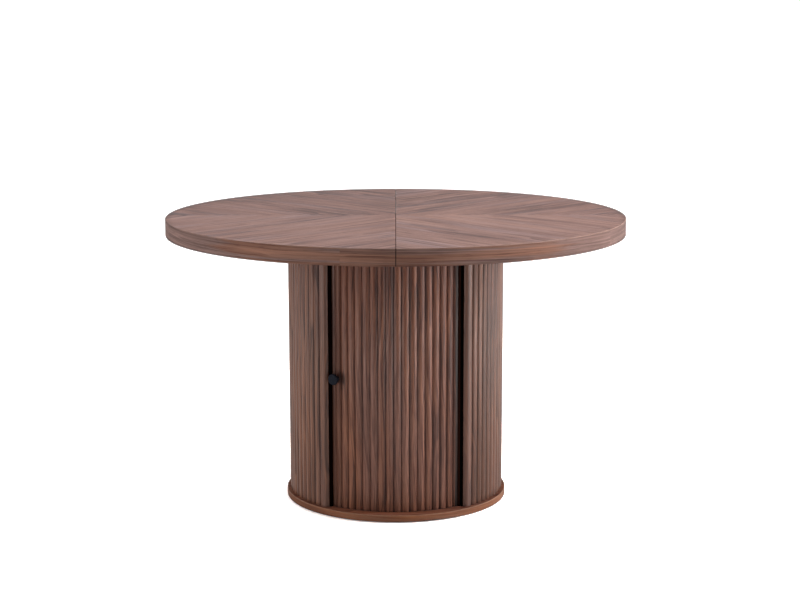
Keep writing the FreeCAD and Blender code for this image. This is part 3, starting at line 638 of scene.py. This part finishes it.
# ---------------------------------------------------------------------------
# Mesh builders
# ---------------------------------------------------------------------------
def piece(name, verts, faces, body, nodes, slot, mat=None, angle=35.0):
    me = bpy.data.meshes.new(name)
    me.from_pydata(verts, [], faces)
    me.validate()
    me.update()
    for p in me.polygons:
        p.use_smooth = True
    me.set_sharp_from_angle(angle=math.radians(angle))
    ob = bpy.data.objects.new(name, me)
    bpy.context.scene.collection.objects.link(ob)
    ob.data.materials.append(mat or M[slot])
    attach(ob, body)
    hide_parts(*nodes)
    return ob


class Shell:
    """Collects closed shells made of stacked rings with the same number of points."""

    def __init__(self):
        self.v, self.f = [], []

    def rings(self, rings, closed_caps=True, wrap=False):
        base, n = len(self.v), len(rings[0])
        for r in rings:
            self.v.extend(r)
        last = len(rings) if wrap else len(rings) - 1
        for i in range(last):
            a, b = base + i * n, base + ((i + 1) % len(rings)) * n
            for j in range(n):
                k = (j + 1) % n
                self.f.append((a + j, a + k, b + k, b + j))
        if closed_caps and not wrap:
            self.f.append(tuple(base + j for j in range(n))[::-1])
            self.f.append(tuple(base + (len(rings) - 1) * n + j for j in range(n)))


def spin(u, v, a, z):
    """Local (across, out) on the drum turned to angle a."""
    t = math.radians(a)
    return (u * math.cos(t) + v * math.sin(t), u * math.sin(t) - v * math.cos(t), z)


def reed_outline(w0, w1, v0, v1, v2, n=22):
    """Half-round outline, counter-clockwise seen from above when turned out to -Y."""
    h = v2 - v1
    rad = (w1 * w1 + h * h) / (2 * h)
    cy = v2 - rad
    half = math.asin(w1 / rad)
    if h > rad:
        half = math.pi - half
    pts = [(-w0, v0)]
    for i in range(n + 1):
        a = -half + 2 * half * i / n
        pts.append((rad * math.sin(a), cy + rad * math.cos(a)))
    pts.append((w0, v0))
    return pts


def inset(pts, d):
    us = [p[0] for p in pts]
    vs = [p[1] for p in pts]
    cu, cv = 0.5 * (min(us) + max(us)), 0.5 * (min(vs) + max(vs))
    ku = 1 - 2 * d / (max(us) - min(us))
    kv = 1 - 2 * d / (max(vs) - min(vs))
    return [(cu + (u - cu) * ku, cv + (v - cv) * kv) for u, v in pts]


def reed_row(outline, angles, z0, z1, ease=0.0007, tongue=None):
    sh = Shell()
    soft = [(inset(outline, ease), 0.0), (inset(outline, ease * 0.3), ease * 0.35), (outline, ease)]
    for a in angles:
        rows = []
        if tongue:
            tw, v0, v1, zl, zh = tongue
            tp = [(max(-tw, min(tw, u)), max(v0, min(v1, v))) for u, v in outline]
            rows += [[spin(u, v, a, zl) for u, v in tp], [spin(u, v, a, z0) for u, v in tp]]
        rows += [[spin(u, v, a, z0 + dz) for u, v in o] for o, dz in soft]
        rows += [[spin(u, v, a, z1 - dz) for u, v in o] for o, dz in reversed(soft)]
        if tongue:
            rows += [[spin(u, v, a, z1) for u, v in tp], [spin(u, v, a, zh) for u, v in tp]]
        sh.rings(rows)
    return sh


pitch = (180.0 - JAMB_A) / REED_N
out = reed_outline(REED_W, REED_W, REED_BACK, REED_SHOULDER, REED_CREST)
for sx, side in ((-1, "left"), (1, "right")):
    sh = reed_row(out, [sx * (JAMB_A + pitch * (i + 0.5)) for i in range(REED_N)], PLINTH_TOP + 0.0002, CAP_BOT - 0.0002)
    piece("reed_skin_" + side, sh.v, sh.f, "drum", ["reeds_" + side], "walnut_reeds")

out = reed_outline(0.00955, 0.00985, SLAT_BACK, SLAT_SHOULDER, SLAT_CREST)
sh = reed_row(out, [SLAT_A0 + SLAT_PITCH * (i + 0.5) for i in range(SLAT_N)], PLINTH_TOP + 0.001, CAP_BOT - 0.001,
              tongue=(0.007, 0.253, 0.259, PLINTH_TOP - TRACK_D + 0.002, CAP_BOT + TRACK_D - 0.002))
piece("tambour_slat_row", sh.v, sh.f, "tambour_door", ["tambour_slats"], "walnut_slats")


def full_ring(profile, n):
    """Closed profile of (radius, z) points turned right round."""
    sh = Shell()
    sh.rings([[(r * math.sin(2 * math.pi * i / n), -r * math.cos(2 * math.pi * i / n), z) for r, z in profile]
              for i in range(n)], wrap=True)
    return sh


def band_profile(r0, r1, z0, z1, rad, n=5):
    p = [(r0, z0)]
    for i in range(n + 1):
        a = -math.pi / 2 + math.pi / 2 * i / n
        p.append((r1 - rad + rad * math.cos(a), z0 + rad + rad * math.sin(a)))
    for i in range(n + 1):
        a = math.pi / 2 * i / n
        p.append((r1 - rad + rad * math.cos(a), z1 - rad + rad * math.sin(a)))
    p.append((r0, z1))
    return p


sh = full_ring(band_profile(PLINTH_R - PBAND_T, PLINTH_R, GLIDE_H, PLINTH_TOP, 0.0010), 288)
piece("plinth_band_ring", sh.v, sh.f, "drum", ["plinth_edge_band"], "plinth_band")
sh = full_ring(band_profile(CAP_R - PBAND_T, CAP_R, CAP_BOT, CAP_TOP, 0.0010), 288)
piece("cap_band_ring", sh.v, sh.f, "drum", ["cap_edge_band"], "plinth_band", M["cap_band"])


# half tops -----------------------------------------------------------------
def half_outline(r, gap, n=200):
    """Left half disc, from the front seam corner round to the back one."""
    t0 = math.asin(gap / r)
    return [(-r * math.sin(t0 + (math.pi - 2 * t0) * i / n), -r * math.cos(t0 + (math.pi - 2 * t0) * i / n))
            for i in range(n + 1)]


def half_board():
    sh = Shell()
    z0, z1 = TOP_H - BOARD_T, TOP_H
    r = TOP_R - BAND_T
    rows = [(0.0003, 0.0005, z0), (0.0, 0.0, z0 + 0.0005)]
    for i in range(5):
        a = math.pi / 2 * i / 4
        rows.append((0.00015 * (1 - math.cos(a)), 0.0011 * (1 - math.cos(a)), z1 - 0.0011 + 0.0011 * math.sin(a)))
    sh.rings([[(x, y, z) for x, y in half_outline(r - do, SEAM + ds)] for do, ds, z in rows])
    return sh


def half_band():
    sh = Shell()
    n = 240
    r1 = TOP_R
    t0 = math.asin(SEAM / r1)
    soft = 0.0010 / r1                      # eased ends at the seam
    steps = [t0 + soft * (1 - math.cos(math.pi / 2 * i / 5)) for i in range(5)]
    depth = [0.0007 * (1 - math.sin(math.pi / 2 * i / 5)) for i in range(5)]
    turns = list(zip(steps, depth))
    a, b = t0 + soft, math.pi - t0 - soft
    turns += [(a + (b - a) * i / n, 0.0) for i in range(n + 1)]
    turns += [(math.pi - s, d) for s, d in reversed(list(zip(steps, depth)))]
    rows = []
    for t, d in turns:
        p = band_profile(TOP_R - BAND_T, TOP_R - d, TOP_H - RIM_H, TOP_H, 0.0010 if d == 0 else min(0.0010, BAND_T - d))
        rows.append([(-r * math.sin(t), -r * math.cos(t), z) for r, z in p])
    sh.rings(rows)
    return sh


def half_turn(vs):
    return [(-x, -y, z) for x, y, z in vs]


b = half_board()
e = half_band()
for side, fn in (("left", lambda v: v), ("right", half_turn)):
    piece("half_top_" + side, fn(b.v), b.f, "half_top_" + side, ["top_board_" + side], "walnut_top")
    piece("half_band_" + side, fn(e.v), e.f, "half_top_" + side, ["top_edge_band_" + side], "walnut_band")


# knob ----------------------------------------------------------------------
def arc_pts(cx, cy, r, a0, a1, n):
    return [(cx + r * math.cos(math.radians(a0 + (a1 - a0) * i / n)),
             cy + r * math.sin(math.radians(a0 + (a1 - a0) * i / n))) for i in range(n + 1)]


prof = [(0.0, 0.2622), (0.0068, 0.2622)] + arc_pts(0.0068, 0.2626, 0.0004, -90, 0, 3) + [(0.0072, 0.2633)]
prof += [(0.0069, 0.2638), (0.0061, 0.2645), (0.0057, 0.2655), (0.0054, 0.2669), (0.00535, 0.2688), (0.0054, 0.2700),
         (0.0058, 0.2716), (0.0067, 0.27265), (0.0085, 0.2735), (0.0108, 0.27445)]
prof += arc_pts(0.0123, 0.2768, 0.0018, -80, 0, 7)
prof += [(0.0142, 0.2782)] + arc_pts(0.0123, 0.2799, 0.0019, 0, 84, 8)
prof += [(0.0110, 0.28186), (0.0070, 0.28198), (0.0030, 0.28206), (0.0, 0.28208)]
kn = 72
kv, kf = [], []
t = math.radians(KNOB_A)
ax = Vector((math.sin(t), -math.cos(t), 0.0))
e1 = Vector((math.cos(t), math.sin(t), 0.0))
e2 = Vector((0, 0, 1))
mid_o = Vector((0, 0, KNOB_Z))
ring_ix = []
for r, d in prof:
    if r == 0.0:
        kv.append(tuple(mid_o + ax * d))
        ring_ix.append([len(kv) - 1])
    else:
        row = []
        for i in range(kn):
            a = 2 * math.pi * i / kn
            kv.append(tuple(mid_o + ax * d + e1 * (r * math.cos(a)) + e2 * (r * math.sin(a))))
            row.append(len(kv) - 1)
        ring_ix.append(row)
for r0, r1 in zip(ring_ix, ring_ix[1:]):
    if len(r0) == 1:
        kf += [(r0[0], r1[(i + 1) % kn], r1[i]) for i in range(kn)]
    elif len(r1) == 1:
        kf += [(r0[i], r0[(i + 1) % kn], r1[0]) for i in range(kn)]
    else:
        kf += [(r0[i], r0[(i + 1) % kn], r1[(i + 1) % kn], r1[i]) for i in range(kn)]
piece("door_knob", kv, kf, "tambour_door", ["knob"], "knob_black", angle=50)

# ---------------------------------------------------------------------------
# Floor, light, camera
# ---------------------------------------------------------------------------
T = Tree("floor_paint")
n = T.noise(T.coords(), 3.0, 3.0, 0.5)
T.finish(T.mix(n, (0.94, 0.94, 0.94), (0.96, 0.96, 0.96)), T.lerp(n, 0.3, 0.7, 0.75, 0.85), Specular_IOR_Level=0.2,
         Emission_Color=(1.0, 1.0, 1.0, 1.0))
# the floor glows evenly, and a stronger painted glow near the table lifts the table's shadow on the floor and also
# lights the wood from below
x, y, z = T.sep(T.coords())
shadow_lift = T.step(T.math("SQRT", T.add(T.mul(x, x), T.mul(y, y))), 1.2, 0.45)
T.put(T.bsdf.inputs["Emission Strength"], T.add(0.14, T.mul(shadow_lift, 0.12)))
me = bpy.data.meshes.new("floor")
S = 600.0
me.from_pydata([(-S, -S, 0), (S, -S, 0), (S, S, 0), (-S, S, 0)], [], [(0, 1, 2, 3)])
floor = bpy.data.objects.new("floor", me)
floor.data.materials.append(T.mat)
bpy.context.scene.collection.objects.link(floor)

world = bpy.data.worlds.new("studio")
bpy.context.scene.world = world
world.use_nodes = True
wt = world.node_tree
wt.nodes.clear()
wo = wt.nodes.new("ShaderNodeOutputWorld")
bg = wt.nodes.new("ShaderNodeBackground")
wt.links.new(bg.outputs[0], wo.inputs[0])
tc = wt.nodes.new("ShaderNodeTexCoord")
sx = wt.nodes.new("ShaderNodeSeparateXYZ")
wt.links.new(tc.outputs["Generated"], sx.inputs[0])


def wmath(op, a, b):
    n = wt.nodes.new("ShaderNodeMath")
    n.operation = op
    for i, v in enumerate((a, b)):
        if isinstance(v, bpy.types.NodeSocket):
            wt.links.new(v, n.inputs[i])
        else:
            n.inputs[i].default_value = v
    return n.outputs[0]


# soft overhead light that falls off towards a pale horizon, and a bright backdrop behind the table
SKY_LOW, SKY_UP, BACKDROP = 0.12, 0.86, 0.45
up = wmath("MAXIMUM", sx.outputs["Z"], 0.0)
far = wmath("MAXIMUM", sx.outputs["Y"], 0.0)
sky = wmath("ADD", wmath("MULTIPLY", up, SKY_UP), SKY_LOW)
haze = wmath("POWER", wmath("MAXIMUM", wmath("SUBTRACT", 1.0, wmath("DIVIDE", up, 0.12)), 0.0), 2.0)
sky = wmath("ADD", sky, wmath("MULTIPLY", haze, 0.75))
wt.links.new(wmath("ADD", sky, wmath("MULTIPLY", wmath("POWER", far, 2.0), BACKDROP)), bg.inputs["Strength"])
bg.inputs["Color"].default_value = (1, 1, 1, 1)


def area(name, loc, target, size, power, color=(1, 1, 1)):
    li = bpy.data.lights.new(name, "AREA")
    li.shape = "RECTANGLE"
    li.size, li.size_y = size
    li.energy = power
    li.color = color
    ob = bpy.data.objects.new(name, li)
    bpy.context.scene.collection.objects.link(ob)
    ob.location = loc
    ob.rotation_euler = (Vector(target) - Vector(loc)).to_track_quat("-Z", "Y").to_euler()
    return ob


# soft fill from both sides, and low strips below the level of the top that only give the wood its sheen,
# so that no lamp mirrors in the top when it is seen from the side
for name, loc, target, size, power in (
        ("softbox_right", (3.13, -0.54, 0.85), (0, 0, 0.42), (1.0, 1.6), 150.0),
        ("softbox_left", (-3.05, -0.76, 0.75), (0, 0, 0.42), (1.2, 1.9), 66.0),
        ("panel_right", (2.9, 2.2, 1.2), (0.2, 0, 0.5), (1.8, 2.2), 42.0)):
    area(name, loc, target, size, power).visible_glossy = False
for name, loc, target, size, power in (
        ("strip_right", (2.697, -1.685, 0.29), (0, 0, 0.29), (2.2, 0.56), 84.0),
        ("strip_left", (-2.230, -2.153, 0.29), (0, 0, 0.29), (2.0, 0.56), 38.0),
        ("strip_right_side", (3.13, -0.54, 0.29), (0, 0, 0.29), (1.0, 0.56), 23.0),
        ("strip_left_side", (-3.05, -0.76, 0.29), (0, 0, 0.29), (1.2, 0.56), 7.4),
        ("strip_back", (2.9, 2.2, 0.36), (0.2, 0, 0.36), (1.8, 0.70), 13.0)):
    area(name, loc, target, size, power).visible_diffuse = False

cam = bpy.data.cameras.new("camera")
cam.sensor_fit = "HORIZONTAL"
cam.sensor_width = 36.0
cam.lens = 1757.74 / 800.0 * 36.0
cam.clip_end = 3000.0
co = bpy.data.objects.new("camera", cam)
bpy.context.scene.collection.objects.link(co)
co.location = (0.0, -4.5811, 1.3425)
co.rotation_euler = (math.pi / 2 - 0.1770, 0.0, 0.0)
co.rotation_euler.rotate_axis("Z", -0.0012)
turn = co.rotation_euler.to_quaternion()
turn.rotate(Quaternion((0, 0, 1), -0.00242))
co.rotation_euler = turn.to_euler()
bpy.context.scene.camera = co
view = bpy.context.scene.view_settings
view.view_transform = "Standard"
# levels: the studio floor clips to white a little earlier, the middle tones stay as they are
view.use_curve_mapping = True
cm = view.curve_mapping
cm.white_level = (0.72, 0.72, 0.72)
cv = cm.curves[3]
cv.points[0].location = (0.0, 0.0)
cv.points[1].location = (1.0, 1.0)
cv.points.new(0.75, 0.54)
for pt in cv.points:
    pt.handle_type = "VECTOR"
cm.update()

bpy.context.view_layer.update()
